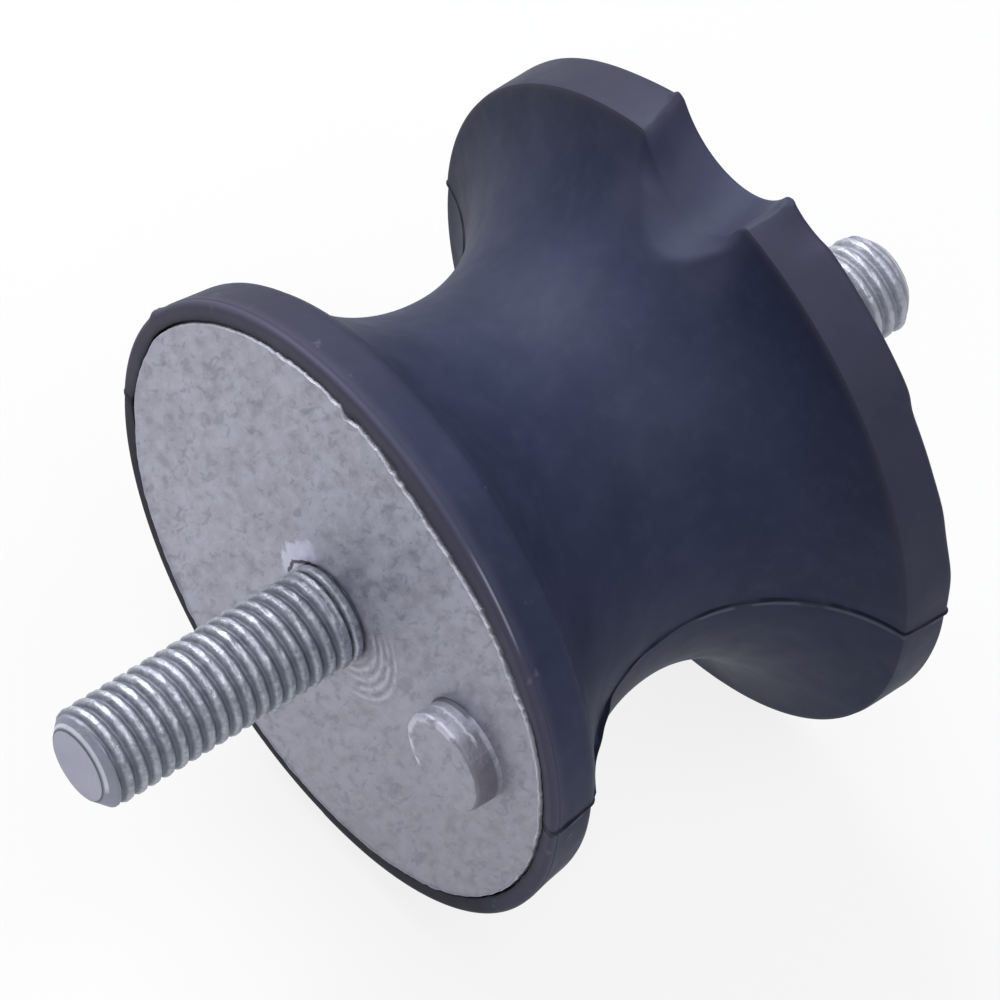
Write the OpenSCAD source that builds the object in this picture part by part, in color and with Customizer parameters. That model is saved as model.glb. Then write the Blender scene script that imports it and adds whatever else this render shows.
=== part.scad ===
// Engine mount: a waisted rubber body bonded between two round steel plates, each with a stud.
// The axis of the mount lies along X. The front face, with the long stud and the locating pip,
// looks towards -X and its centre is the origin. All sizes are in millimetres.

/* [Rubber body] */
// Length between the two mounting faces
body_len = 44.4; // [41:0.2:54]
// Diameter of the body at its waist
waist_d = 39.8; // [34:0.2:46]
// Distance from the front face to the waist
waist_x = 23.4; // [21:0.2:26]

/* [Front rim] */
// Largest diameter of the rubber rim round the front plate
front_rim_d = 62; // [60:0.5:68]
// Width of the front rim along the axis
front_rim_w = 5.6; // [5:0.1:7]
// Loss of radius from the front rim's front edge to its back corner
front_rim_draft = 0.7; // [0.2:0.1:1]
// Rounding of the front rim's front edge
front_edge_r = 0.5; // [0.3:0.1:1.2]
// Distance by which each rubber lip lies behind its plate's face
lip_setback = 0.1; // [0.1:0.05:0.6]

/* [Rear rim] */
// Largest diameter of the rubber rim round the rear plate
rear_rim_d = 66.8; // [65:0.2:70]
// Width of the rear rim along the axis
rear_rim_w = 5.1; // [4.6:0.1:6]
// Loss of radius from the rear rim's back edge to its front corner
rear_rim_draft = 0.5; // [0.1:0.1:0.8]
// Rounding of the rear rim's back edge
rear_edge_r = 0.6; // [0.3:0.1:1]

/* [Notch in the rear rim] */
// Radius of the round notch
notch_r = 8.3; // [6:0.1:10]
// Depth of the notch at the rear face
notch_depth = 4.75; // [3:0.05:5.5]
// Slope of the notch's floor towards the waist, in degrees
notch_slope = 22; // [10:1:28]
// Rubber left between the notch and the rear plate
notch_skin = 1.5; // [1:0.1:2.5]

/* [Plates] */
// Diameter of the front plate
front_plate_d = 58; // [54:0.5:59]
// Thickness of the front plate
front_plate_t = 4; // [3.5:0.1:4.5]
// Diameter of the rear plate
rear_plate_d = 58; // [52:0.5:59]
// Thickness of the rear plate
rear_plate_t = 3.5; // [2.5:0.1:3.8]
// Chamfer on the outer edge of each plate
plate_chamfer = 0.3; // [0.1:0.05:0.5]

/* [Locating pip] */
// Diameter of the pip
pip_d = 10; // [7:0.1:12]
// Height of the pip above the front plate
pip_h = 2.8; // [1.5:0.1:3]
// Distance from the mount's axis to the pip's axis
pip_offset = 19; // [16:0.5:21]
// Rounding of the pip's top edge
pip_edge_r = 0.4; // [0.2:0.1:0.8]
// Clearance all round between the pip's slug and the pocket behind it
pip_shear = 0.15; // [0:0.05:0.3]

/* [Studs] */
// Outside diameter of both stud threads
stud_d = 10; // [8:0.5:12]
// Length of the front stud in front of its plate
front_stud_len = 28.6; // [20:0.2:40]
// Length of the rear stud behind its plate
rear_stud_len = 20.4; // [14:0.2:30]
// Diameter of the flat end of each stud
stud_tip_d = 7.2; // [5:0.1:7.8]
// Diameter by which the neck in the plate is larger than the thread
neck_step = 0.8; // [0.4:0.1:1.5]
// Radial clearance between a neck and the hole in its plate
neck_clearance = 0.05; // [0.02:0.01:0.1]
// Diameter of the head that holds each stud behind its plate
head_d = 18; // [15:0.5:20]
// Thickness of that head
head_t = 3; // [2:0.1:4]

/* [Hidden] */
$fn = 96;

waist_r = waist_d / 2;
front_r = front_rim_d / 2;
front_back_r = front_r - front_rim_draft;
rear_r = rear_rim_d / 2;
rear_front_r = rear_r - rear_rim_draft;
rear_rim_x = body_len - rear_rim_w;
rear_lip_x = body_len - lip_setback;

// An arc that is level at the waist and passes through a rim's inner corner
function flare_r(run, rise) = (run * run + rise * rise) / (2 * rise);
front_flare_r = flare_r(waist_x - front_rim_w, front_back_r - waist_r);
rear_flare_r = flare_r(rear_rim_x - waist_x, rear_front_r - waist_r);

// The notch's floor at the rear face and at the front face of the rear plate
notch_floor = rear_r - notch_depth;
notch_floor_plate = notch_floor - rear_plate_t * tan(notch_slope);
notch_lead = 2 / cos(notch_slope);
notch_cut = 2 / 3 * (body_len - waist_x) + notch_lead;

plate_hole_d = stud_d + neck_step + 2 * neck_clearance;
neck_d = stud_d + neck_step;
tip_len = (stud_d - stud_tip_d) / 2;
over = 1;
edge_steps = 6;

RUBBER = [0.19, 0.2, 0.25];
ZINC = [0.64, 0.64, 0.69];

// Turns an outline drawn with the axis along X and the radius along Y
module turned() rotate([0, 90, 0]) rotate_extrude() mirror([1, -1, 0]) children();

// Points of a rounded corner, with r as its radius and x, y as its centre, from angle a to angle b
function corner(x, y, r, a, b) =
    [for (i = [0:edge_steps]) let (t = a + (b - a) * i / edge_steps) [x + r * cos(t), y + r * sin(t)]];

// Outer edge of the rubber with both rims and no waist
module rim_outline() {
    polygon(concat(
        [[lip_setback, 0]],
        corner(lip_setback + front_edge_r, front_r - front_edge_r, front_edge_r, 180, 90),
        [[front_rim_w, front_back_r], [rear_rim_x, rear_front_r]],
        corner(rear_lip_x - rear_edge_r, rear_r - rear_edge_r, rear_edge_r, 90, 0),
        [[rear_lip_x, 0]]
    ));
}

// One side of the waist: the disc of air beside it, from the waist towards +X or -X
module flare_cut(side, r) {
    intersection() {
        translate([waist_x, waist_r + r]) circle(r);
        translate([waist_x - (side < 0 ? 2 * r : 0), waist_r]) square([2 * r, 2 * r]);
    }
}

// Half of the outer section of the rubber, from the axis outwards
module rubber_outline() {
    difference() {
        rim_outline();
        flare_cut(-1, front_flare_r);
        flare_cut(1, rear_flare_r);
    }
}

// Round notch that comes in through the top of the rear rim and runs down to the waist
module notch() {
    translate([body_len, 0, notch_floor]) rotate([0, -notch_slope, 0])
        translate([notch_lead, 0, notch_r]) rotate([0, -90, 0]) cylinder(h = notch_cut, r = notch_r);
}

// Disc with a chamfered outer edge at its face, from x = 0 towards +X
module plate_disc(d, t) {
    turned() polygon([
        [0, 0],
        [0, d / 2 - plate_chamfer],
        [plate_chamfer, d / 2],
        [t, d / 2],
        [t, 0]
    ]);
}

// Pip pushed forward out of the plate, from the plate's face towards -X
module pip() {
    r = pip_d / 2;
    mirror([1, 0, 0]) turned() {
        polygon(concat(
            [[-over, 0], [-over, r]],
            corner(pip_h - pip_edge_r, r - pip_edge_r, pip_edge_r, 90, 0),
            [[pip_h, 0]]
        ));
    }
}

// Pocket that the pip's slug leaves behind it, which the rubber fills
module pip_pocket() {
    translate([front_plate_t - pip_h, -pip_offset, 0]) rotate([0, 90, 0])
        cylinder(h = pip_h + over, d = pip_d - 2 * pip_shear);
}

// Rounded cut that keeps the rear plate clear of the notch, in a plate whose back lies at x = 0
module plate_cutback() {
    translate([-over, 0, notch_floor_plate + notch_r]) rotate([0, 90, 0])
        cylinder(h = rear_plate_t + 3 * over, r = notch_r + notch_skin);
}

// Hole through a plate of thickness t that the stud's neck sits in
module plate_hole(t) {
    translate([-over, 0, 0]) rotate([0, 90, 0])
        cylinder(h = t + 2 * over, d = plate_hole_d);
}

// Room in the rubber for the front plate with its filled pocket, and for the head behind it
module front_room() {
    difference() {
        rotate([0, 90, 0]) translate([0, 0, -over]) cylinder(h = front_plate_t + over, d = front_plate_d);
        pip_pocket();
    }
    rotate([0, 90, 0]) cylinder(h = front_plate_t + head_t, d = head_d);
}

// Room in the rubber for the rear plate with its cut-back edge, and for the head in front of it
module rear_room() {
    translate([body_len - rear_plate_t, 0, 0]) {
        difference() {
            rotate([0, 90, 0]) cylinder(h = rear_plate_t + over, d = rear_plate_d);
            plate_cutback();
        }
        translate([-head_t, 0, 0]) rotate([0, 90, 0]) cylinder(h = head_t + over, d = head_d);
    }
}

// Stud that stands len out of a plate of thickness t, from the plate's face towards +X
module stud(len, t) {
    turned() polygon([
        [len, 0],
        [len, stud_tip_d / 2],
        [len - tip_len, stud_d / 2],
        [0, stud_d / 2],
        [0, neck_d / 2],
        [-t, neck_d / 2],
        [-t, head_d / 2],
        [-t - head_t, head_d / 2],
        [-t - head_t, 0]
    ]);
}

module place_front() mirror([1, 0, 0]) children();
module place_rear() translate([body_len, 0, 0]) children();

module front_plate() {
    color(ZINC) difference() {
        union() {
            plate_disc(front_plate_d, front_plate_t);
            translate([0, -pip_offset, 0]) pip();
        }
        pip_pocket();
        plate_hole(front_plate_t);
    }
}

module rear_plate() {
    color(ZINC) difference() {
        translate([body_len, 0, 0]) mirror([1, 0, 0]) plate_disc(rear_plate_d, rear_plate_t);
        translate([body_len - rear_plate_t, 0, 0]) plate_cutback();
        translate([body_len, 0, 0]) mirror([1, 0, 0]) plate_hole(rear_plate_t);
    }
}

module front_stud() color(ZINC) place_front() stud(front_stud_len, front_plate_t);
module rear_stud() color(ZINC) place_rear() stud(rear_stud_len, rear_plate_t);

module rubber_body() {
    color(RUBBER) difference() {
        turned() rubber_outline();
        front_room();
        rear_room();
        notch();
    }
}

rubber_body();
front_plate();
front_stud();
rear_plate();
rear_stud();
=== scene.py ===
"""Engine mount: a waisted rubber body bonded between two round steel plates, each with a threaded stud.

The axis of the mount lies along X, the front face with the long stud and the locating pip looks
towards -X, and its centre is the origin. Sizes are in millimetres unless they say otherwise, and
angles round the axis run from +Y towards +Z.
"""
import math

import bmesh
import bpy
import numpy as np
from mathutils import Matrix, Vector


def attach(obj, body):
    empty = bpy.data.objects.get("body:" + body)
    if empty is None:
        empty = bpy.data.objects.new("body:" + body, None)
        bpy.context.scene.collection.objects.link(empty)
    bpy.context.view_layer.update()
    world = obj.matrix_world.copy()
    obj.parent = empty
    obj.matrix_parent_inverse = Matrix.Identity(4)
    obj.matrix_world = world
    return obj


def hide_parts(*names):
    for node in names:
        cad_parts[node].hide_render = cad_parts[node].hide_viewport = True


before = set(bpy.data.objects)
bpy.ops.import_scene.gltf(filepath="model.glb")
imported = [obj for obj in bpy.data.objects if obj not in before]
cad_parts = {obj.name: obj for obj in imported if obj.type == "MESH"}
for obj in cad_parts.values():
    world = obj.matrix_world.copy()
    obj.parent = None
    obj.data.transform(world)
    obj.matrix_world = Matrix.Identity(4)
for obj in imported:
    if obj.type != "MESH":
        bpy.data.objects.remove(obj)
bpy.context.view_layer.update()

MM = 0.001
TURN = 2 * math.pi

# Rubber body
BODY_LEN = 44.4
WAIST_X, WAIST_R = 23.4, 19.9
FRONT_RIM_R, FRONT_RIM_BACK_R, FRONT_RIM_X = 31.0, 30.3, 5.6
REAR_RIM_FRONT_R, REAR_RIM_R, REAR_RIM_X = 32.85, 33.05, 39.3
LIP_X, EDGE_R = 0.1, 0.5

# Rear rim beside the notch: bells of (rise, angle, width) and steps of (rise, from, to, softness), in degrees
RIM_BELLS = ((0.62, 80, 10), (0.45, 103, 2.2), (0.3, 171, 5), (0.2, 158, 4), (-0.14, 33, 9))
RIM_STEPS = ((0.35, 100, 112, 1), (0.98, 111, 138.5, 0.9), (-0.22, 188, 230, 4))

# Parting line: ridge, offset of the lower mould half, and where the flash on the front flare starts and ends
RIDGE_HEIGHT, RIDGE_WIDTH, HALF_STEP = 0.22, 0.44, 0.16
FLASH_START, FLASH_END = 8.2, 13.0

# Notch in the rear rim; along X, its radius as a share of NOTCH_R and the fillet of its inner edges
NOTCH_R, NOTCH_FLOOR, NOTCH_SLOPE = 8.3, 28.65, math.tan(math.radians(22))
NOTCH_SHARE = ((35, 0.90), (37.5, 0.80), (39.2, 0.69), (41.5, 0.84), (44.4, 1.0))
NOTCH_FILLET = ((0, 0.35), (36, 0.35), (37.6, 0.9), (39.2, 5.0), (40.5, 3.4), (42.4, 2.8), (43.6, 1.2), (44.2, 0.3))
NOTCH_START, NOTCH_LEAN, NOTCH_DENT = 32, 0.5, 1.2
NIB_ANGLES, NIB_RISE, NIB_TOP = (75.9, 102.7), 0.4, 32.95

# Plates, pip and studs
PLATE_R, PLATE_EDGE = 29.0, 0.3
REAR_CUT_R, REAR_CUT_FLOOR = 9.8, 25.74
PIP_Y, PIP_R, PIP_HEIGHT, PIP_DISH = -19.0, 5.0, 2.8, 2.67
STUD_R, STUD_ROOT_R, STUD_TIP_R, PITCH = 5.0, 4.52, 3.6, 1.5
FRONT_TIP, REAR_TIP = -28.6, 64.8
THREAD_ROWS, STUD_COLUMNS, TIP_DISH = 14, 96, 0.13

# Where rubber flash hides the front plate's border: angle round the axis in degrees, visible radius
BORDER = (
    (0, 28.95), (20, 28.9), (24, 29.1), (45, 28.85), (84, 28.8), (88.5, 28.8), (90, 27.95), (94, 28.45), (100, 28.25),
    (102, 27.95), (108, 27.6), (115, 27.4), (122, 27.7), (130, 27.9), (131.5, 28.3), (141, 28.4), (150, 28.5),
    (153, 29.05), (166, 29.2), (181, 29.2), (200, 29.1), (240, 29.2), (275, 29.1), (300, 29.0), (345, 29.05),
    (356, 28.75), (360, 28.95),
)

# Lumps pressed up beside the front stud: place in Y and Z, width, rise
LUMPS = ((5.4, 2.3, 1.1, 0.25), (3.9, 4.1, 1.0, 0.25), (6.7, 0.6, 0.9, 0.15), (5.8, 4.0, 1.3, 0.15))

# Section of the pip, from its root over its rounded top edge to the dish in its face: x, radius
PIP_SECTION = (
    (0.35, PIP_R + 0.14), (0.05, PIP_R + 0.08), (-0.15, PIP_R), (-0.7, PIP_R - 0.01), (-1.3, PIP_R - 0.02),
    (-1.9, PIP_R - 0.03), (-2.3, PIP_R - 0.05), (-2.52, PIP_R - 0.09), (-2.68, PIP_R - 0.19), (-2.76, PIP_R - 0.33),
    (-2.8, PIP_R - 0.5), (-2.77, PIP_R - 0.75), (-2.73, 3.8), (-2.69, 2.6), (-2.67, 1.3), (-2.67, 0.4),
)

# How much painted shade the rubber's first rows get, from the gap beside the plate out to the lip
GAP_SHADE = (1.0, 1.0, 1.0, 1.0, 0.9, 0.7, 0.15)

# Lamps: name, place, aim, size, power in watts
LAMPS = (
    ("key", (90, 420, 430), (10, 0, 0), 420, 5.0),
    ("top", (60, -250, 500), (20, 0, 0), 420, 2.0),
    ("front", (-420, -260, 380), (10, 0, 0), 360, 0.7),
)

# Floor: height and half its width
FLOOR_Z, FLOOR_HALF = -33.45, 2500.0

# Camera at the photograph's place; the rows are its right, down and forward directions
CAMERA_AT = (-316.968, -363.925, 638.288)
CAMERA_ROWS = ((0.776894, -0.627529, 0.051415), (-0.472140, -0.634645, -0.611808), (0.416557, 0.451035, -0.789334))
FOCAL_PIXELS, PICTURE_PIXELS, SENSOR_WIDTH = 8965.86, 1000, 36

# Outputs of the Light Path node
CAMERA_RAY, GLOSSY_RAY, TRANSMISSION_RAY = 0, 3, 6


# Meshes

def wave(angle, seed, lowest, highest, count=14):
    """Smooth seeded wobble round a full turn, about -1 to 1."""
    rng = np.random.default_rng(seed)
    orders = rng.integers(lowest, highest + 1, count)
    phases = rng.uniform(0, TURN, count)
    weights = rng.uniform(0.4, 1.0, count)
    total = sum(w * np.sin(k * angle + p) for w, k, p in zip(weights, orders, phases))
    return total / np.sqrt((weights ** 2).sum() / 2) / 2


def hump(value, centre, width):
    """Bell of height 1 round centre."""
    return np.exp(-((value - centre) / width) ** 2)


def shelf(value, start, end, soft):
    """1 between start and end, 0 outside, with soft steps."""
    before = 1 + np.exp(np.clip((start - value) / soft, -40, 40))
    after = 1 + np.exp(np.clip((value - end) / soft, -40, 40))
    return 1 / before / after


def soft_min(a, b, blend):
    """The smaller of a and b, with a fillet where they meet."""
    h = np.clip(0.5 + 0.5 * (b - a) / blend, 0, 1)
    return b * (1 - h) + a * h - blend * h * (1 - h)


def round_degrees(angle):
    """Angle round the axis in degrees, 0 to 360."""
    return np.degrees(angle) % 360


def arc(cx, cr, radius, start, end, count):
    """Points along an arc of the section, angles in degrees."""
    angles = np.radians(np.linspace(start, end, count))
    return [(cx + radius * math.cos(a), cr + radius * math.sin(a)) for a in angles]


def span(a, b, count):
    """Points along a straight stretch of the section, without its first point."""
    return [(a[0] + (b[0] - a[0]) * i / count, a[1] + (b[1] - a[1]) * i / count) for i in range(1, count + 1)]


def grids(rows, count):
    """Grids of x and radius from rows of both, each a number or one value for each of count angles."""
    return [np.array([np.broadcast_to(row[k], (count,)) for row in rows]) for k in (0, 1)]


def turned_points(x, r, angle):
    """Points of a grid of x and radius at each angle round the axis."""
    return np.stack([x, r * np.cos(angle), r * np.sin(angle)], axis=-1).reshape(-1, 3)


def ring_faces(rows, columns, base=0):
    """Quads between neighbouring rings of a grid that closes on itself; base is the number of its first point."""
    faces = []
    for i in range(rows - 1):
        a, b = base + i * columns, base + (i + 1) * columns
        faces += [(a + j, a + (j + 1) % columns, b + (j + 1) % columns, b + j) for j in range(columns)]
    return faces


def cap_faces(first, columns, centre):
    """Triangles from a ring of points, whose first is given, to a centre point."""
    return [(first + j, first + (j + 1) % columns, centre) for j in range(columns)]


def make_mesh(name, points, faces, sharp=38, border=None):
    """Smooth mesh object with edges sharper than sharp degrees kept; border holds a mark for each point."""
    mesh = bpy.data.meshes.new(name)
    mesh.from_pydata((np.asarray(points) * MM).tolist(), [], faces)
    if border is not None:
        mesh.attributes.new("border", "FLOAT", "POINT").data.foreach_set("value", border.astype(np.float32))
    mesh.update()
    mesh.polygons.foreach_set("use_smooth", [True] * len(mesh.polygons))
    mesh.set_sharp_from_angle(angle=math.radians(sharp))
    piece = bpy.data.objects.new(name, mesh)
    bpy.context.scene.collection.objects.link(piece)
    return piece


def tidy(piece):
    """Merges points that lie together and drops faces without area."""
    work = bmesh.new()
    work.from_mesh(piece.data)
    bmesh.ops.remove_doubles(work, verts=work.verts, dist=2e-6)
    bmesh.ops.dissolve_degenerate(work, edges=work.edges, dist=1e-6)
    bmesh.ops.recalc_face_normals(work, faces=work.faces)
    work.to_mesh(piece.data)
    work.free()


# Rubber body

def flare(rim_x, rim_r):
    """Radius of the arc from the waist to a rim's inner corner, and the angle at which it gets there."""
    run, rise = rim_x - WAIST_X, rim_r - WAIST_R
    radius = (run ** 2 + rise ** 2) / (2 * rise)
    return radius, math.degrees(math.atan2(rise - radius, run))


def rubber_section():
    """Outer section of the rubber from the front lip to the rear rim, and the rear rim's rounded edge."""
    front_flare, front_angle = flare(FRONT_RIM_X, FRONT_RIM_BACK_R)
    rear_flare, rear_angle = flare(REAR_RIM_X, REAR_RIM_FRONT_R)
    lip = arc(LIP_X + EDGE_R, FRONT_RIM_R - 0.53, EDGE_R, 170, 88, 9)
    # A fine moulded line behind the front edge, then the rim and its worn back corner
    lip += [(LIP_X + 0.66, FRONT_RIM_R - 0.07), (LIP_X + 0.76, FRONT_RIM_R - 0.10), (LIP_X + 0.88, FRONT_RIM_R - 0.04)]
    band = span(lip[-1], (FRONT_RIM_X - 0.9, FRONT_RIM_BACK_R + 0.16), 12)
    corner = [(FRONT_RIM_X - 0.6, FRONT_RIM_BACK_R + 0.09), (FRONT_RIM_X - 0.33, FRONT_RIM_BACK_R - 0.02)]
    corner += [(FRONT_RIM_X - 0.12, FRONT_RIM_BACK_R - 0.2), (FRONT_RIM_X + 0.06, FRONT_RIM_BACK_R - 0.48)]
    flares = arc(WAIST_X, WAIST_R + front_flare, front_flare, front_angle + 2.6, -90, 44)
    flares += arc(WAIST_X, WAIST_R + rear_flare, rear_flare, -90, rear_angle - 1.8, 58)[1:]
    rear = [(REAR_RIM_X - 0.05, REAR_RIM_FRONT_R - 0.3), (REAR_RIM_X + 0.09, REAR_RIM_FRONT_R - 0.1)]
    rear += span((REAR_RIM_X + 0.26, REAR_RIM_FRONT_R - 0.01), (BODY_LEN - LIP_X - 0.55, REAR_RIM_R), 14)
    edge = arc(BODY_LEN - LIP_X - EDGE_R, REAR_RIM_R - EDGE_R, EDGE_R, 84, 0, 7)
    return np.array(lip + band + corner + flares + rear), np.array(edge)


def border(angle):
    """Visible radius of the front plate at each angle, with small jags."""
    degrees = round_degrees(angle)
    edge = np.interp(degrees, *zip(*BORDER))
    rough = 0.25 + 0.75 * shelf(degrees, 86, 156, 1.5) + 0.35 * shelf(degrees, 60, 200, 5)
    return edge + 0.08 - rough * (0.20 * np.abs(wave(angle, 3, 24, 80)) + 0.12 * np.abs(wave(angle, 5, 60, 150)))


def crevice(angle):
    """Width of the dark gap between the plate's border and the rubber; the rubber's material darkens it further with
    painted shade.
    """
    degrees = round_degrees(angle)
    wide = 0.34 * shelf(degrees, 88, 153, 1.2)
    wide += 0.40 * (shelf(degrees, 355.5, 370, 0.5) + shelf(degrees, -10, 2.5, 0.5))
    wide += 0.45 * hump(degrees, 103.5, 1.6) + 0.10 * shelf(degrees, 20, 88, 5)
    return 0.08 + wide + 0.10 * shelf(degrees, 190, 300, 8) + 0.05 * np.abs(wave(angle, 8, 15, 60))


def notch_radius(x, angle, outer, radius, floor, slope, aside=0.0):
    """Distance from the axis to a cut that comes in from the top and slopes down towards the waist.

    The cut's section follows a circle at its floor and goes on rising beyond the circle's sides.
    """
    lowest, far, rounds = 0.2, 99.0, 12
    bottom = floor - (BODY_LEN - x) * slope
    sine = np.maximum(np.sin(angle), lowest)
    reach = outer
    for _ in range(rounds):
        side = np.abs(reach * np.cos(angle) - aside) / radius
        cut = (bottom + radius * (side ** 2 / 2 + side ** 4 / 8 + side ** 6 / 16 + side ** 8 / 10)) / sine
        reach = np.minimum(outer, cut)
    return np.where(np.sin(angle) > lowest, cut, far)


def rear_plate_border(angle):
    """Radius of the rear plate, cut back behind the notch."""
    return np.minimum(PLATE_R, notch_radius(BODY_LEN, angle, PLATE_R, REAR_CUT_R, REAR_CUT_FLOOR, 0))


def uneven_rims(x, r, degrees):
    """Radius with the rear rim's swellings and dent beside the notch, and the front rim's blunt and full spots."""
    swell = sum(rise * hump(degrees, *place) for rise, *place in RIM_BELLS)
    swell = swell + sum(rise * shelf(degrees, *place) for rise, *place in RIM_STEPS)
    r = r + swell * np.clip((x - REAR_RIM_X) / 4.2, 0, 1) ** 1.3
    r = r - NOTCH_DENT * hump(degrees, 80.0, 1.9) * hump(x, 39.2, 1.0)
    r = r + 0.28 * hump(degrees, 28.5, 1.6) * hump(x, 0.7, 1.0)
    return r + 0.3 * shelf(degrees, 205, 262, 8) * hump(x, 0.3, 1.8)


def parting_lift(x, r, turn):
    """How far the parting ridge stands out on both sides, less the step down to the lower mould half."""
    height = r * np.sin(turn)
    uneven = 0.8 + 0.3 * np.sin(x * 0.9 + 1.1) * np.sin(x * 0.37)
    flash = shelf(x, FLASH_START, FLASH_END, 0.5) * (np.cos(turn) < 0) * (0.9 + 0.12 * np.sin(x * 2.1))
    half_width = RIDGE_WIDTH / 2 + 0.25 * flash
    ridge = RIDGE_HEIGHT * (uneven + 2.0 * flash) * np.clip(1.35 - np.abs(height) / half_width, 0, 1)
    step_at, step_soft, fade = 0.2, 0.06, 5
    lower = 1 / (1 + np.exp(np.clip((height + step_at) / step_soft, -40, 40)))
    step = HALF_STEP * lower * np.exp(-np.clip(-height, 0, None) / fade)
    return (ridge - step) * np.clip((x - 0.1) / 0.4, 0, 1)


def notched(x, r, turn, stations, rim_row):
    """Radius after the notch, with soft inner edges and a nib at each end of the rear rim.

    Rows past rim_row belong to the rim's rounded edge, which keeps its shape along the notch.
    """
    width = NOTCH_R * np.interp(x, *zip(*NOTCH_SHARE))
    aside = NOTCH_LEAN * np.clip((x - 40) / 4.4, 0, 1)
    cut = notch_radius(x, turn, r, width, NOTCH_FLOOR, NOTCH_SLOPE, aside)
    fillet = np.interp(stations, *zip(*NOTCH_FILLET))[:, None]
    base = r.copy()
    base[rim_row:] = r[rim_row]
    reach = np.where(x > NOTCH_START, soft_min(base, cut, fillet), base) + (r - base)
    nib = sum(hump(np.degrees(turn), a, 0.7) for a in NIB_ANGLES) * hump(x, BODY_LEN - 0.4, 0.7)
    return np.minimum(reach + NIB_RISE * nib, NIB_TOP / np.maximum(np.sin(turn), 0.3))


def front_lip(r, angle):
    """Rows from under the plate's border up the rubber's own wall and out to the rim's edge at radius r."""
    edge, gap = border(angle), crevice(angle)
    degrees = round_degrees(angle)
    inner = edge + gap + 0.04 * np.abs(wave(angle, 9, 40, 150))
    start = inner + 0.13
    dip = 0.16 * shelf(degrees, 152, 186, 2)
    uneven = 0.05 * wave(angle, 12, 8, 40) * (0.3 + shelf(degrees, 86, 156, 2))
    rows = [(0.95, edge - 0.12), (0.93, edge + 0.5 * gap), (0.7, inner - 0.03), (0.3, inner)]
    rows += [(LIP_X + 0.1 + dip, inner + 0.03), (LIP_X + 0.02 + dip, start)]
    return rows + [(LIP_X + (uneven + dip) * (1 - t), start + (r - start) * t) for t in (0.3, 0.6, 0.85)]


def rear_lip(x, r, angle):
    """Rows from the rear rim's edge, given by x and radius, in to the plate."""
    inner = rear_plate_border(angle) + 0.03
    rows = [(x, r * (1 - t) + inner * t) for t in (0.2, 0.4, 0.6, 0.8, 0.95)]
    return rows + [(BODY_LEN - LIP_X - depth, inner) for depth in (0, 0.9)]


def rubber_body():
    """The one moulding: both rims, the waist, the notch and the parting ridge."""
    # One column of points for each degree, and finer ones at the parting line and across the notch
    fine = [np.linspace(c - 1.5, c + 1.5, 37) for c in (0, 180)] + [np.linspace(72, 108, 97)]
    angle = np.radians(np.unique(np.round(np.concatenate([np.arange(-90, 270, 1.0)] + fine), 3)))
    front, edge = rubber_section()
    section = np.vstack([front, edge])
    slope = np.gradient(section, axis=0)
    normal = np.stack([-slope[:, 1], slope[:, 0]], axis=1)
    normal /= np.linalg.norm(normal, axis=1)[:, None]
    x, r = (np.repeat(section[:, k:k + 1], len(angle), axis=1) for k in (0, 1))
    turn = np.broadcast_to(angle, r.shape)
    r = uneven_rims(x, r, np.degrees(turn))
    lift = parting_lift(x, r, turn)
    x, r = x + lift * normal[:, :1], r + lift * normal[:, 1:]
    r = notched(x, r, turn, section[:, 0], len(front) - 1)
    lead, tail = grids(front_lip(r[0], angle), len(angle)), grids(rear_lip(x[-1], r[-1], angle), len(angle))
    x, r = np.vstack([lead[0], x, tail[0]]), np.vstack([lead[1], r, tail[1]])
    # Painted shade in the gap beside the plate: how dark each of the first rows is painted, carried by the mesh's
    # border mark
    dark = np.zeros(r.shape)
    dark[:len(GAP_SHADE)] = np.array(GAP_SHADE)[:, None]
    points = turned_points(x, r, np.broadcast_to(angle, r.shape))
    return make_mesh("rubber_skin", points, ring_faces(len(x), len(angle)), 32, dark.ravel())


# Plates

def pip(base):
    """Points and faces of the half-sheared pip, with torn marks down its side; base is its first point's number."""
    angle = np.linspace(0, TURN, 289)[:-1]
    x, r = grids(PIP_SECTION, len(angle))
    turn = np.broadcast_to(angle, r.shape)
    side = np.clip(-x / PIP_HEIGHT, 0, 1)
    torn = 0.012 * wave(turn + x * 0.02, 22, 30, 90) * shelf(-x, 0.3, 2.3, 0.12)
    r = r + (0.05 * wave(turn, 21, 4, 18) * side + torn) * (r > 3)
    x = x + 0.04 * wave(turn, 23, 1, 3) * side
    points = np.vstack([turned_points(x, r, turn) + (0, PIP_Y, 0), [[-PIP_DISH, PIP_Y, 0]]])
    faces = ring_faces(len(x), len(angle), base)
    last = base + (len(x) - 1) * len(angle)
    return points, faces + cap_faces(last, len(angle), base + len(points) - 1)


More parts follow.
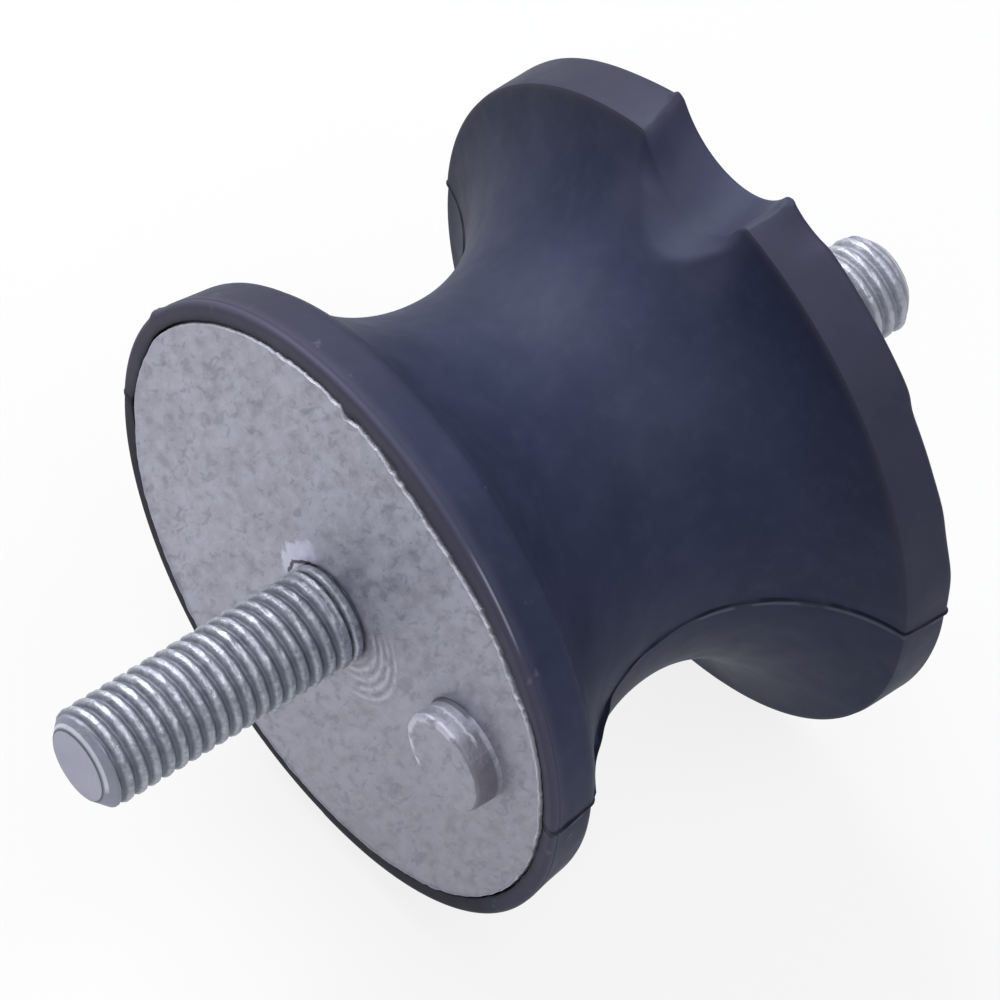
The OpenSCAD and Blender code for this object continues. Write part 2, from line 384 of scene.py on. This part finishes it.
def front_plate():
    """Pressed disc with the pip pushed out of it, the mark of the riveted stud and an uneven surface."""
    angle = np.linspace(0, TURN, 1081)[:-1]
    edge = border(angle)
    rng = np.random.default_rng(51)
    flat_r, dents, dents_within = 26.5, 26, 25
    radii = np.concatenate([np.linspace(4.9, 12, 30), np.linspace(12.5, flat_r, 26)])
    share = np.array([0.35, 0.65, 0.85, 1.0])[:, None]
    r = np.vstack([np.repeat(radii[:, None], len(angle), axis=1), flat_r + (edge - 0.34 - flat_r) * share])
    turn = np.broadcast_to(angle, r.shape)
    y, z = r * np.cos(turn), r * np.sin(turn)

    def bell(py, pz, width):
        return np.exp(-((y - py) ** 2 + (z - pz) ** 2) / width ** 2)

    # Ring squeezed up round the stud, with lumps beside it
    x = -0.07 * hump(r, 5.5, 0.5) * (0.75 + 0.25 * wave(turn, 14, 2, 7))
    for py, pz, width, rise in LUMPS:
        x = x - rise * bell(py, pz, width)
    # Faint turned rings beside the stud
    x = x + 0.03 * np.sin(r * 6.3) * shelf(r, 5.8, 9.4, 0.5) * shelf(round_degrees(turn), 164, 240, 8)
    # Draw-in round the pip, and dents from handling
    x = x + 0.07 * hump(np.hypot(y - PIP_Y, z), PIP_R + 0.2, 0.8)
    for _ in range(dents):
        py, pz = rng.uniform(-dents_within, dents_within), rng.uniform(-dents_within, dents_within)
        width, depth = rng.uniform(0.8, 3.5), rng.uniform(0.01, 0.035)
        x = x + depth * bell(py, pz, width)
    x = x + 0.03 * wave(turn, 11, 1, 5) * np.clip((r - 8) / 20, 0, 1)
    # Burred border, with a mark for a painted highlight along it
    burr = 0.08 + 0.07 * np.abs(wave(angle, 17, 10, 70))
    rows = [(0.0, edge - 0.22), (-0.6 * burr, edge - 0.13), (-burr, edge - 0.06), (0.0, edge)]
    rows += [(0.15, edge + 0.01), (1.5, edge)]
    outer_x, outer_r = grids(rows, len(angle))
    x, r = np.vstack([x, outer_x]), np.vstack([r, outer_r])
    bright = np.zeros(r.shape)
    bright[-4:] = 0.35 + 0.45 * shelf(np.degrees(angle), 70, 200, 8) + 0.25 * wave(angle, 19, 20, 70)
    points = turned_points(x, r, np.broadcast_to(angle, r.shape))
    pip_points, pip_faces = pip(len(points))
    faces = ring_faces(len(x), len(angle)) + pip_faces
    bright = np.concatenate([bright.ravel(), np.zeros(len(pip_points))])
    return make_mesh("plate_face", np.vstack([points, pip_points]), faces, 34, bright)


def rear_plate():
    """Disc with the rounded cut-back behind the notch."""
    angle = np.linspace(0, TURN, 361)[:-1]
    outer = rear_plate_border(angle)
    radii = np.concatenate([np.linspace(5.0, 12, 24) / PLATE_R, np.linspace(12.5, PLATE_R - PLATE_EDGE, 30) / PLATE_R])
    share = radii[:, None]
    r = np.minimum(share * PLATE_R, outer[None] - PLATE_EDGE * (share > 0.5) - (share[-1] - share) * 2)
    x = BODY_LEN + 0.22 * hump(r, 5.6, 0.55) - 0.10 * hump(r, 6.8, 0.5) - 0.03
    x = x - 0.03 * wave(np.broadcast_to(angle, r.shape), 31, 1, 5) * np.clip((r - 8) / 20, 0, 1)
    chamfer = ((0.06, 0.12), (0.18, 0.24), (PLATE_EDGE, PLATE_EDGE), (1.5, PLATE_EDGE))
    rim_x, rim_r = grids([(BODY_LEN - dx, outer - PLATE_EDGE + dr) for dx, dr in chamfer], len(angle))
    x, r = np.vstack([x, rim_x]), np.vstack([r, rim_r])
    points = turned_points(x, r, np.broadcast_to(angle, r.shape))
    faces = ring_faces(len(x), len(angle))
    return make_mesh("rear_plate_face", points, [f[::-1] for f in faces], 30)


# Studs

def thread_radius(phase, crest, root):
    """Rolled thread: narrow rounded crest, straight flanks and a wide rounded root."""
    t = np.abs((phase % 1.0) - 0.5) * 2
    flank = np.clip((t - 0.08) / 0.66, 0, 1)
    shape = flank * flank * (3 - 2 * flank) * 0.35 + flank * 0.65
    return root + (crest - root) * shape


def stud_radius(along, angle, phase, length, seed):
    """Radius of a stud at a distance along it: nicked thread, plain foot with two grooves, and tip cone."""
    nicks = np.clip(wave(angle + along * 2.9, seed + 2, 6, 26, 20) - 0.25, 0, 1)
    crest = STUD_R - 0.04 + 0.04 * wave(angle + along * 0.6, seed, 2, 14) - 0.09 * nicks
    root = STUD_ROOT_R + 0.05 * wave(angle + along * 0.3, seed + 1, 3, 18)
    fade = np.clip((along - 1.7) / 1.3, 0, 1)
    r = (STUD_R - 0.02) * (1 - fade) + thread_radius(phase, crest, root) * fade
    # A groove where the thread ends and one at the plate, with a slight swelling between them
    r = r - 0.5 * hump(along, 1.4, 0.17) - 0.42 * hump(along, 0.05, 0.28) + 0.05 * hump(along, 0.95, 0.3)
    cone = np.maximum(STUD_TIP_R + length - along, 0.1)
    return np.where(along > length, STUD_TIP_R - 0.03, soft_min(r, cone, 0.1))


def spiral_faces(rows):
    """Quads of a surface that climbs THREAD_ROWS rows in a turn, so each row ends beside a later one's start."""
    faces = []
    for a in range(rows):
        first = a * STUD_COLUMNS
        after = first + STUD_COLUMNS
        faces += [(first + b, first + b + 1, after + b + 1, after + b) for b in range(STUD_COLUMNS - 1)]
        if a + 1 + THREAD_ROWS <= rows:
            low = first + THREAD_ROWS * STUD_COLUMNS
            faces.append((after - 1, low, low + STUD_COLUMNS, after + STUD_COLUMNS - 1))
    return faces


def stud(name, foot, tip, seed):
    """Threaded stud from its foot at the plate to its flat chamfered tip with a shallow dish."""
    length = abs(tip - foot)
    direction = 1.0 if tip > foot else -1.0
    rows = int(THREAD_ROWS * (length / PITCH + 2))
    row, column = np.arange(rows + 1)[:, None], np.arange(STUD_COLUMNS)[None]
    along = (row / THREAD_ROWS + column / STUD_COLUMNS - 1) * PITCH
    phase = np.broadcast_to(row / THREAD_ROWS, along.shape)
    angle = np.broadcast_to(column / STUD_COLUMNS * TURN, along.shape)
    r = stud_radius(along, angle, phase, length, seed)
    points = turned_points(foot + direction * np.clip(along, 0, length), r, angle * direction)
    dish = ((0.0, STUD_TIP_R - 0.03), (0.03, 3.1), (0.10, 2.0), (TIP_DISH, 1.0))
    ring = np.linspace(0, TURN, STUD_COLUMNS + 1)[:-1]
    cap_x, cap_r = grids([(tip - direction * depth, radius) for depth, radius in dish], STUD_COLUMNS)
    cap = turned_points(cap_x, cap_r, np.broadcast_to(ring, cap_r.shape))
    start = len(points)
    points = np.vstack([points, cap, [[tip - direction * TIP_DISH, 0, 0]]])
    faces = spiral_faces(rows) + ring_faces(len(dish), STUD_COLUMNS, start)
    faces += cap_faces(start + (len(dish) - 1) * STUD_COLUMNS, STUD_COLUMNS, len(points) - 1)
    if direction > 0:
        faces = [f[::-1] for f in faces]
    piece = make_mesh(name, points, faces, 50)
    tidy(piece)
    return piece


# Materials

class Sock:
    """Output of a node; arithmetic on it adds Math nodes."""

    def __init__(self, finish, out):
        self.finish, self.out = finish, out

    def calc(self, operation, *values, clamp=False):
        """Math node of an operation on the values."""
        settings = {"operation": operation, "use_clamp": clamp}
        return self.finish.add("ShaderNodeMath", settings, dict(enumerate(values)))

    def __add__(self, other): return self.calc("ADD", self, other)
    def __sub__(self, other): return self.calc("SUBTRACT", self, other)
    def __rsub__(self, other): return self.calc("SUBTRACT", other, self)
    def __mul__(self, other): return self.calc("MULTIPLY", self, other)
    def __pow__(self, other): return self.calc("POWER", self, other)
    __radd__, __rmul__ = __add__, __mul__

    def clip(self): return self.calc("ADD", self, 0.0, clamp=True)
    def size(self): return self.calc("ABSOLUTE", self)

    def ramp(self, low, high):
        """0 below low, 1 above high, smooth between."""
        settings = {"interpolation_type": "SMOOTHSTEP"}
        return self.finish.add("ShaderNodeMapRange", settings, {0: self, 1: low, 2: high, 3: 0.0, 4: 1.0})

    def band(self, low, high, soft):
        """1 between low and high, 0 outside."""
        return self.ramp(low - soft, low) * (1 - self.ramp(high, high + soft))


class Finish:
    """Node tree of a material or of the surroundings, with one method that adds any node."""

    def __init__(self, owner):
        owner.use_nodes = True
        self.owner = owner
        self.nodes, self.links = owner.node_tree.nodes, owner.node_tree.links

    def add(self, kind, settings=None, values=None, out=0):
        """New node of a type with its settings, and values or links for its inputs."""
        node = self.nodes.new(kind)
        for key, value in (settings or {}).items():
            setattr(node, key, value)
        for key, value in (values or {}).items():
            self.feed(node.inputs[key], value)
        return Sock(self, node.outputs[out])

    def feed(self, socket, value):
        if isinstance(value, Sock):
            self.links.new(value.out, socket)
        else:
            socket.default_value = value

    def mix(self, amount, a, b):
        """Colour a where amount is 0, colour b where it is 1."""
        return self.add("ShaderNodeMix", {"data_type": "RGBA"}, {0: amount, 6: a, 7: b}, out=2)

    def end(self, kind):
        """The tree's own shader or output node."""
        return next(n for n in self.nodes if n.type == kind)


class Skin(Finish):
    """Finish of a piece: a Principled shader with the object's own place in millimetres, painted in layers."""

    def __init__(self, name, **constants):
        super().__init__(bpy.data.materials.new(name))
        self.shader = self.end("BSDF_PRINCIPLED")
        self.wear(**constants)
        at = self.add("ShaderNodeTexCoord", out=3)
        self.place = self.add("ShaderNodeVectorMath", {"operation": "SCALE"}, {0: at, "Scale": 1000.0})
        self.x, self.y, self.z = (self.add("ShaderNodeSeparateXYZ", {}, {0: self.place}, out=k) for k in range(3))
        self.turn = self.z.calc("ARCTAN2", self.z, self.y)
        self.radius = (self.y ** 2 + self.z ** 2) ** 0.5
        self.colour = None

    def noise(self, scale, detail=3.0, roughness=0.5, seed=0.0, grain=1.0, twist=0.0):
        """Noise about 0.5, scale in features per millimetre, longer by grain along the sheet's rolling direction."""
        at = self.place
        if seed or grain != 1.0:
            values = {"Vector": at, "Location": (seed, seed, seed), "Scale": (1, grain, 1), "Rotation": (2.1, 0, 0)}
            at = self.add("ShaderNodeMapping", {"vector_type": "TEXTURE"}, values)
        values = {"Vector": at, "Scale": scale, "Detail": detail, "Roughness": roughness, "Distortion": twist}
        return self.add("ShaderNodeTexNoise", {}, values)

    def layer(self, amount, colour):
        """Paints a colour over what is there, as far as amount says."""
        self.colour = self.mix(amount, self.colour, colour)

    def bump(self, height, depth, below=None):
        """Normal from a height in millimetres times depth."""
        values = {"Height": height, "Distance": depth * MM, "Strength": 1.0}
        if below is not None:
            values["Normal"] = below
        return self.add("ShaderNodeBump", {}, values)

    def mark(self):
        """What the mesh marks along the plate's border: painted shade in the rubber's gap, a painted highlight on the
        plate's burr.
        """
        return self.add("ShaderNodeAttribute", {"attribute_name": "border"}, out=2)

    def wear(self, **sockets):
        """Sets or links the shader's sockets and gives the material."""
        for socket, value in sockets.items():
            self.feed(self.shader.inputs[socket.replace("_", " ")], value)
        return self.owner


def tone(red, green, blue):
    """Linear colour from a screen colour of 0 to 255."""
    shares = [c / 255 for c in (red, green, blue)]
    return tuple(c / 12.92 if c <= 0.04 else ((c + 0.055) / 1.055) ** 2.4 for c in shares) + (1.0,)


def rubber_finish():
    """Moulded natural rubber: dark slate, satin and slightly clouded, with a broken parting line whose ridge gets a
    painted shadow and highlight, and painted light and shade on the rims, lip and underside.
    """
    slate, light_slate, bloomed, underside_shade = tone(36, 41, 62), tone(43, 47, 69), tone(54, 57, 77), tone(26, 34, 66)
    front_rim_grey_and_light, rear_rim_grey_and_light, notch_grey = tone(49, 46, 58), tone(54, 51, 63), tone(62, 64, 82)
    trimmed_and_lit_lip, lip_shade_below, edge_highlight, scuffed = tone(72, 69, 86), tone(14, 12, 26), tone(150, 150, 162), tone(112, 110, 118)
    ridge_highlight_tone, ridge_and_gap_shade = tone(98, 104, 122), tone(13, 15, 28)

    f = Skin("rubber", IOR=1.45, Specular_IOR_Level=0.24, Specular_Tint=(0.72, 0.80, 1.0, 1))
    cloud = f.noise(0.11, 3, 0.55).ramp(0.35, 0.68)
    bloom = f.noise(0.6, 4, 0.6, seed=7.0).ramp(0.45, 0.75)
    f.colour = f.mix(cloud, slate, light_slate)
    f.layer(bloom * 0.3, bloomed)
    # Both rims and the notch are greyer; on the rims this grey is laid on more strongly on their lit sides, towards +Y
    # on the front rim and towards the top on the rear rim, as painted light
    front = 1 - f.x.ramp(4.8, 7.0)
    f.layer(front * f.y.ramp(-12.0, 16.0) * 0.6, front_rim_grey_and_light)
    f.layer(f.radius.ramp(31.5, 32.6) * f.z.ramp(-20.0, 12.0) * 0.6, rear_rim_grey_and_light)
    notch = f.x.ramp(33.0, 38.0) * f.z.ramp(19.0, 24.0) * (1 - f.y.size().ramp(6.0, 9.0))
    f.layer(notch * 0.5, notch_grey)
    # Lip round the front plate: its trimmed grey tone, laid on more strongly towards the top as painted light, and
    # painted shade along its lower side; a painted highlight streak on its rounded edge; painted shade over the lower
    # part of the body, bluer and darker towards the bottom; small scuffs on the rim
    lip = 1 - f.x.ramp(0.1, 2.2)
    f.layer(lip * f.z.ramp(-26.0, 0.0) * 0.75, trimmed_and_lit_lip)
    f.layer(lip * f.turn.band(-2.3, -0.15, 0.3) * 0.85, lip_shade_below)
    f.layer((1 - f.z.ramp(-20.0, 2.0)) * (1 - lip) * 0.5, underside_shade)
    # Painted highlight: a light streak on the front rim's rounded edge
    highlight_streak = f.x.band(0.50, 0.58, 0.13) * f.turn.band(2.24, 2.38, 0.12)
    f.layer(highlight_streak * 0.5, edge_highlight)
    scuff = f.noise(0.33, 3, 0.75, seed=21.0).ramp(0.64, 0.74)
    f.layer(scuff * front * 0.3, scuffed)
    # Parting line: painted shadow of its ridge, wider on the front rim and the flash, with a painted highlight line
    # beneath it here and there; the same painted shade darkens the gap beside the plate, where the mesh marks it
    sides = f.y.size().ramp(15.0, 17.0)
    broken = f.noise(0.28, 2, 0.5, seed=11.0).ramp(0.42, 0.56)
    light = (1 - (f.z + 0.72).size().ramp(0.08, 0.32)) * sides * broken
    flash = f.x.band(FLASH_START, FLASH_END, 1.0) * (1 - f.y.ramp(-17.0, -16.0))
    wide = front * 0.2 + broken * 0.1 + flash * 0.5
    dark = (1 - ((f.z + 0.06 + flash * 0.3).size() - wide).ramp(0.18, 0.42)) * sides * (0.6 + broken * 0.4)
    f.layer(light * 0.5, ridge_highlight_tone)
    f.layer((dark + f.mark()).clip(), ridge_and_gap_shade)
    rough = 0.50 + f.noise(0.35, 3, 0.6, seed=3.0) * 0.16
    # Both bumps fade towards the underside, which the camera sees at a low angle
    upper = f.z.ramp(-20.0, -2.0) * 0.8 + 0.2
    grain = f.bump(f.noise(2.0, 2, 0.6, seed=1.0) * upper, 0.014)
    waves = f.bump(f.noise(0.2, 1, 0.5, seed=4.0) * upper, 0.16, grain)
    return f.wear(Base_Color=f.colour, Roughness=rough, Normal=waves)


def zinc_plate_finish():
    """Zinc-plated pressed steel: pale matt grey, blotched, with small stains, painted highlights on its border and the
    pip, and painted shade towards its lower right.
    """
    zinc, light_zinc, fleck, pit = tone(172, 172, 184), tone(190, 190, 203), tone(206, 206, 218), tone(132, 134, 148)
    # burr is the painted highlight colour for the plate's burred border and the pip's top edge
    stain, lower_side_shade, burr, smeared = tone(122, 126, 141), tone(132, 133, 143), tone(226, 226, 238), tone(220, 220, 238)
    cracked, ring_light, ring_dark = tone(52, 54, 68), tone(216, 216, 228), tone(104, 106, 118)
    far_side_shade, upper_side_highlight, crease_shade_tone = tone(120, 117, 128), tone(222, 222, 232), tone(70, 72, 84)

    f = Skin("zinc_plate", Metallic=0.85)
    blotch = f.noise(0.30, 3, 0.62, grain=2.2).ramp(0.36, 0.66)
    flecks = f.noise(0.95, 3, 0.55, seed=5.0, grain=2.2, twist=0.15)
    stains = f.noise(0.75, 2, 0.7, seed=9.0, grain=2.6, twist=0.6).ramp(0.57, 0.67)
    f.colour = f.mix(blotch, zinc, light_zinc)
    f.layer(flecks.ramp(0.50, 0.64) * 0.34, fleck)
    f.layer((1 - flecks.ramp(0.34, 0.46)) * 0.36, pit)
    f.layer(stains * 0.34, stain)
    # Painted shade: darker towards the lower right, lighter towards the upper left
    upper = (f.z * 0.7 + f.y * 0.7).ramp(-34.0, 12.0)
    f.layer((1 - upper) * 0.4, lower_side_shade)
    # Painted highlight along the plate's burred border, where the mesh marks it
    f.layer(f.mark().clip() * 0.8, burr)
    # Front plate: bright smear and dark crack where the stud was riveted in, and turned rings beside it
    front = 1 - f.x.ramp(5.0, 10.0)
    ragged = f.noise(0.8, 2, 0.6, seed=15.0)
    smear = (f.radius + ragged * 2.4).band(5.6, 8.0, 0.7) * f.turn.band(-0.12, 1.0, 0.15)
    f.layer(smear * front * 0.85, smeared)
    off_crack = (f.radius + f.turn * 1.45 + ragged * 0.8 - 6.5).size()
    crack = (1 - off_crack.ramp(0.12, 0.28)) * f.turn.band(-0.1, 0.85, 0.1)
    f.layer(crack * front * 0.85, cracked)
    away = f.z.calc("ARCTAN2", f.z, 0 - f.y)
    swirl = f.radius * 6.3 + ragged * 2.2
    rings = swirl.calc("SINE", swirl)
    near = f.radius.band(5.7, 9.0, 0.8) * away.band(-1.0, 0.25, 0.3) * ragged.ramp(0.36, 0.52) * front
    f.layer(rings.ramp(0.0, 1.0) * near * 0.45, ring_light)
    f.layer((0 - rings).ramp(0.2, 1.0) * near * 0.3, ring_dark)
    # Pip: painted highlight on its top edge towards the stud and a painted highlight line round its upper side, painted
    # shade on its far side, and painted shade in the crease at its root
    out = ((f.y - PIP_Y) ** 2 + f.z ** 2) ** 0.5
    facing = f.z.calc("ARCTAN2", f.z, PIP_Y - f.y)
    proud = 1 - f.x.ramp(-0.5, -0.25)
    side = out.ramp(4.7, 4.85) * proud
    f.layer(side * facing.band(-1.3, 1.1, 0.3) * 0.75, far_side_shade)
    highlight_line = (1 - (f.x + 0.9 + ragged * 0.6).size().ramp(0.05, 0.2)) * side * facing.band(1.2, 2.2, 0.3)
    f.layer(highlight_line * 0.7, upper_side_highlight)
    top_edge_highlight = (1 - f.x.ramp(-2.5, -2.3)) * out.ramp(4.0, 4.4)
    f.layer(top_edge_highlight * (1 - facing.band(-2.2, 1.25, 0.2)) * ragged.ramp(0.36, 0.48) * 0.8, burr)
    root_crease_shade = out.band(5.0, 5.15, 0.12) * (1 - proud) * facing.band(1.6, 2.9, 0.2) * front
    f.layer(root_crease_shade * 0.7, crease_shade_tone)
    rough = 0.54 + blotch * 0.08 + flecks * 0.12
    coarse = f.bump(f.noise(0.7, 3, 0.6, seed=2.0, grain=1.6), 0.15)
    fine = f.bump(f.noise(3.4, 2, 0.6, seed=6.0), 0.035, coarse)
    return f.wear(Base_Color=f.colour, Roughness=rough, Normal=fine)


def zinc_stud_finish():
    """Zinc-plated rolled thread: bright crests, roots painted darker as shade in the grooves, painted glints on the
    crests and clean bright tips with a painted highlight on their rims.
    """
    root_shade_grey, crest_grey, patched = tone(102, 106, 118), tone(168, 172, 182), tone(140, 144, 154)
    crest_glint, speck_dark, rear_grey = tone(204, 206, 216), tone(112, 116, 128), tone(182, 184, 195)
    tip_cone, tip_face = tone(158, 161, 174), tone(188, 188, 204)
    tip_edge, tip_rim_highlight = tone(92, 96, 112), tone(226, 226, 236)

    f = Skin("zinc_thread", Metallic=0.8)
    # Thread roots painted darker as shade in the grooves, crests lighter
    crest = f.radius.ramp(4.6, 4.94)
    patch = f.noise(0.45, 3, 0.6, seed=8.0).ramp(0.35, 0.7)
    f.colour = f.mix(crest, root_shade_grey, crest_grey)
    f.layer(patch * 0.45, patched)
    # Painted glints: light specks on the crests; dark specks all over
    specks = f.noise(1.7, 2, 0.6, seed=18.0)
    f.layer(specks.ramp(0.52, 0.64) * crest * 0.4, crest_glint)
    f.layer((1 - specks.ramp(0.36, 0.46)) * 0.4, speck_dark)
    # The rear stud is cleaner
    f.layer(f.x.ramp(40.0, 46.0) * 0.42, rear_grey)
    # Tips: bright cone and face, a dark line between them and a painted highlight line on the cone's upper side
    ends = (1 - f.x.ramp(-27.7, -27.2)) + f.x.ramp(63.4, 63.9)
    f.layer(ends * 0.8, tip_cone)
    f.layer((1 - f.radius.ramp(3.5, 3.6)) * 0.8 * ends, tip_face)
    f.layer(f.radius.band(3.56, 3.66, 0.07) * ends * 0.75, tip_edge)
    f.layer(f.radius.band(3.82, 4.0, 0.08) * ends * f.turn.band(0.3, 2.9, 0.4) * 0.7, tip_rim_highlight)
    rough = 0.60 - crest * 0.10 + patch * 0.08
    return f.wear(Base_Color=f.colour, Roughness=rough, Normal=f.bump(f.noise(1.6, 3, 0.6), 0.10))


# The set

def area_light(name, place, aim, size, power):
    """Soft square lamp that looks from its place towards its aim."""
    lamp = bpy.data.lights.new(name, "AREA")
    lamp.shape, lamp.size, lamp.energy = "SQUARE", size * MM, power
    holder = bpy.data.objects.new(name, lamp)
    place, aim = Vector(place) * MM, Vector(aim) * MM
    holder.location = place
    holder.rotation_euler = (aim - place).to_track_quat("-Z", "Y").to_euler()
    bpy.context.scene.collection.objects.link(holder)


def pale_floor():
    """Plain floor under the rims, white where the camera looks at it, which keeps the soft shadow."""
    corners = ((-1, -1), (1, -1), (1, 1), (-1, 1))
    floor = make_mesh("floor", [(a * FLOOR_HALF, b * FLOOR_HALF, FLOOR_Z) for a, b in corners], [(0, 1, 2, 3)])
    f = Finish(bpy.data.materials.new("floor"))
    f.nodes.remove(f.end("BSDF_PRINCIPLED"))
    matt = f.add("ShaderNodeBsdfDiffuse", {}, {"Color": (0.6, 0.6, 0.6, 1)})
    glow = f.add("ShaderNodeEmission", {}, {"Color": (1, 1, 1, 1)})
    rays = [f.add("ShaderNodeLightPath", out=k) for k in (CAMERA_RAY, GLOSSY_RAY, TRANSMISSION_RAY)]
    shown = (rays[0] + rays[1] + rays[2]).clip()
    f.feed(f.end("OUTPUT_MATERIAL").inputs[0], f.add("ShaderNodeMixShader", {}, {0: shown * 0.84, 1: matt, 2: glow}))
    floor.data.materials.append(f.owner)


def soft_world():
    """Plain pale surroundings, white to the camera."""
    world = bpy.data.worlds.new("surroundings")
    bpy.context.scene.world = world
    f = Finish(world)
    back = f.end("BACKGROUND")
    seen = f.add("ShaderNodeLightPath", out=CAMERA_RAY)
    f.feed(back.inputs["Color"], f.mix(seen, (0.82, 0.86, 1.0, 1), (1, 1, 1, 1)))
    f.feed(back.inputs["Strength"], 0.26 + seen * 0.74)


def photo_camera():
    """Camera at the photograph's place."""
    right, down, ahead = (Vector(row) for row in CAMERA_ROWS)
    camera = bpy.data.objects.new("camera", bpy.data.cameras.new("camera"))
    bpy.context.scene.collection.objects.link(camera)
    turn = Matrix((right, -down, -ahead)).transposed().to_4x4()
    camera.matrix_world = Matrix.Translation(Vector(CAMERA_AT) * MM) @ turn
    camera.data.sensor_width = SENSOR_WIDTH
    camera.data.lens = SENSOR_WIDTH * FOCAL_PIXELS / PICTURE_PIXELS
    camera.data.clip_start, camera.data.clip_end = 0.05, 20
    bpy.context.scene.camera = camera


# Making

def dress(piece, material, node):
    """Gives a piece its material, parents it to the root body and hides the CAD node that it stands for."""
    piece.data.materials.append(material)
    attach(piece, "root")
    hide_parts(node)


photo_camera()
soft_world()
pale_floor()
for lamp in LAMPS:
    area_light(*lamp)
bpy.context.scene.view_settings.view_transform = "Standard"

rubber, zinc_plate, zinc_thread = rubber_finish(), zinc_plate_finish(), zinc_stud_finish()
dress(rubber_body(), rubber, "rubber_body")
dress(front_plate(), zinc_plate, "front_plate")
dress(rear_plate(), zinc_plate, "rear_plate")
dress(stud("front_thread", 0.0, FRONT_TIP, 41), zinc_thread, "front_stud")
dress(stud("rear_thread", BODY_LEN, REAR_TIP, 43), zinc_thread, "rear_stud")
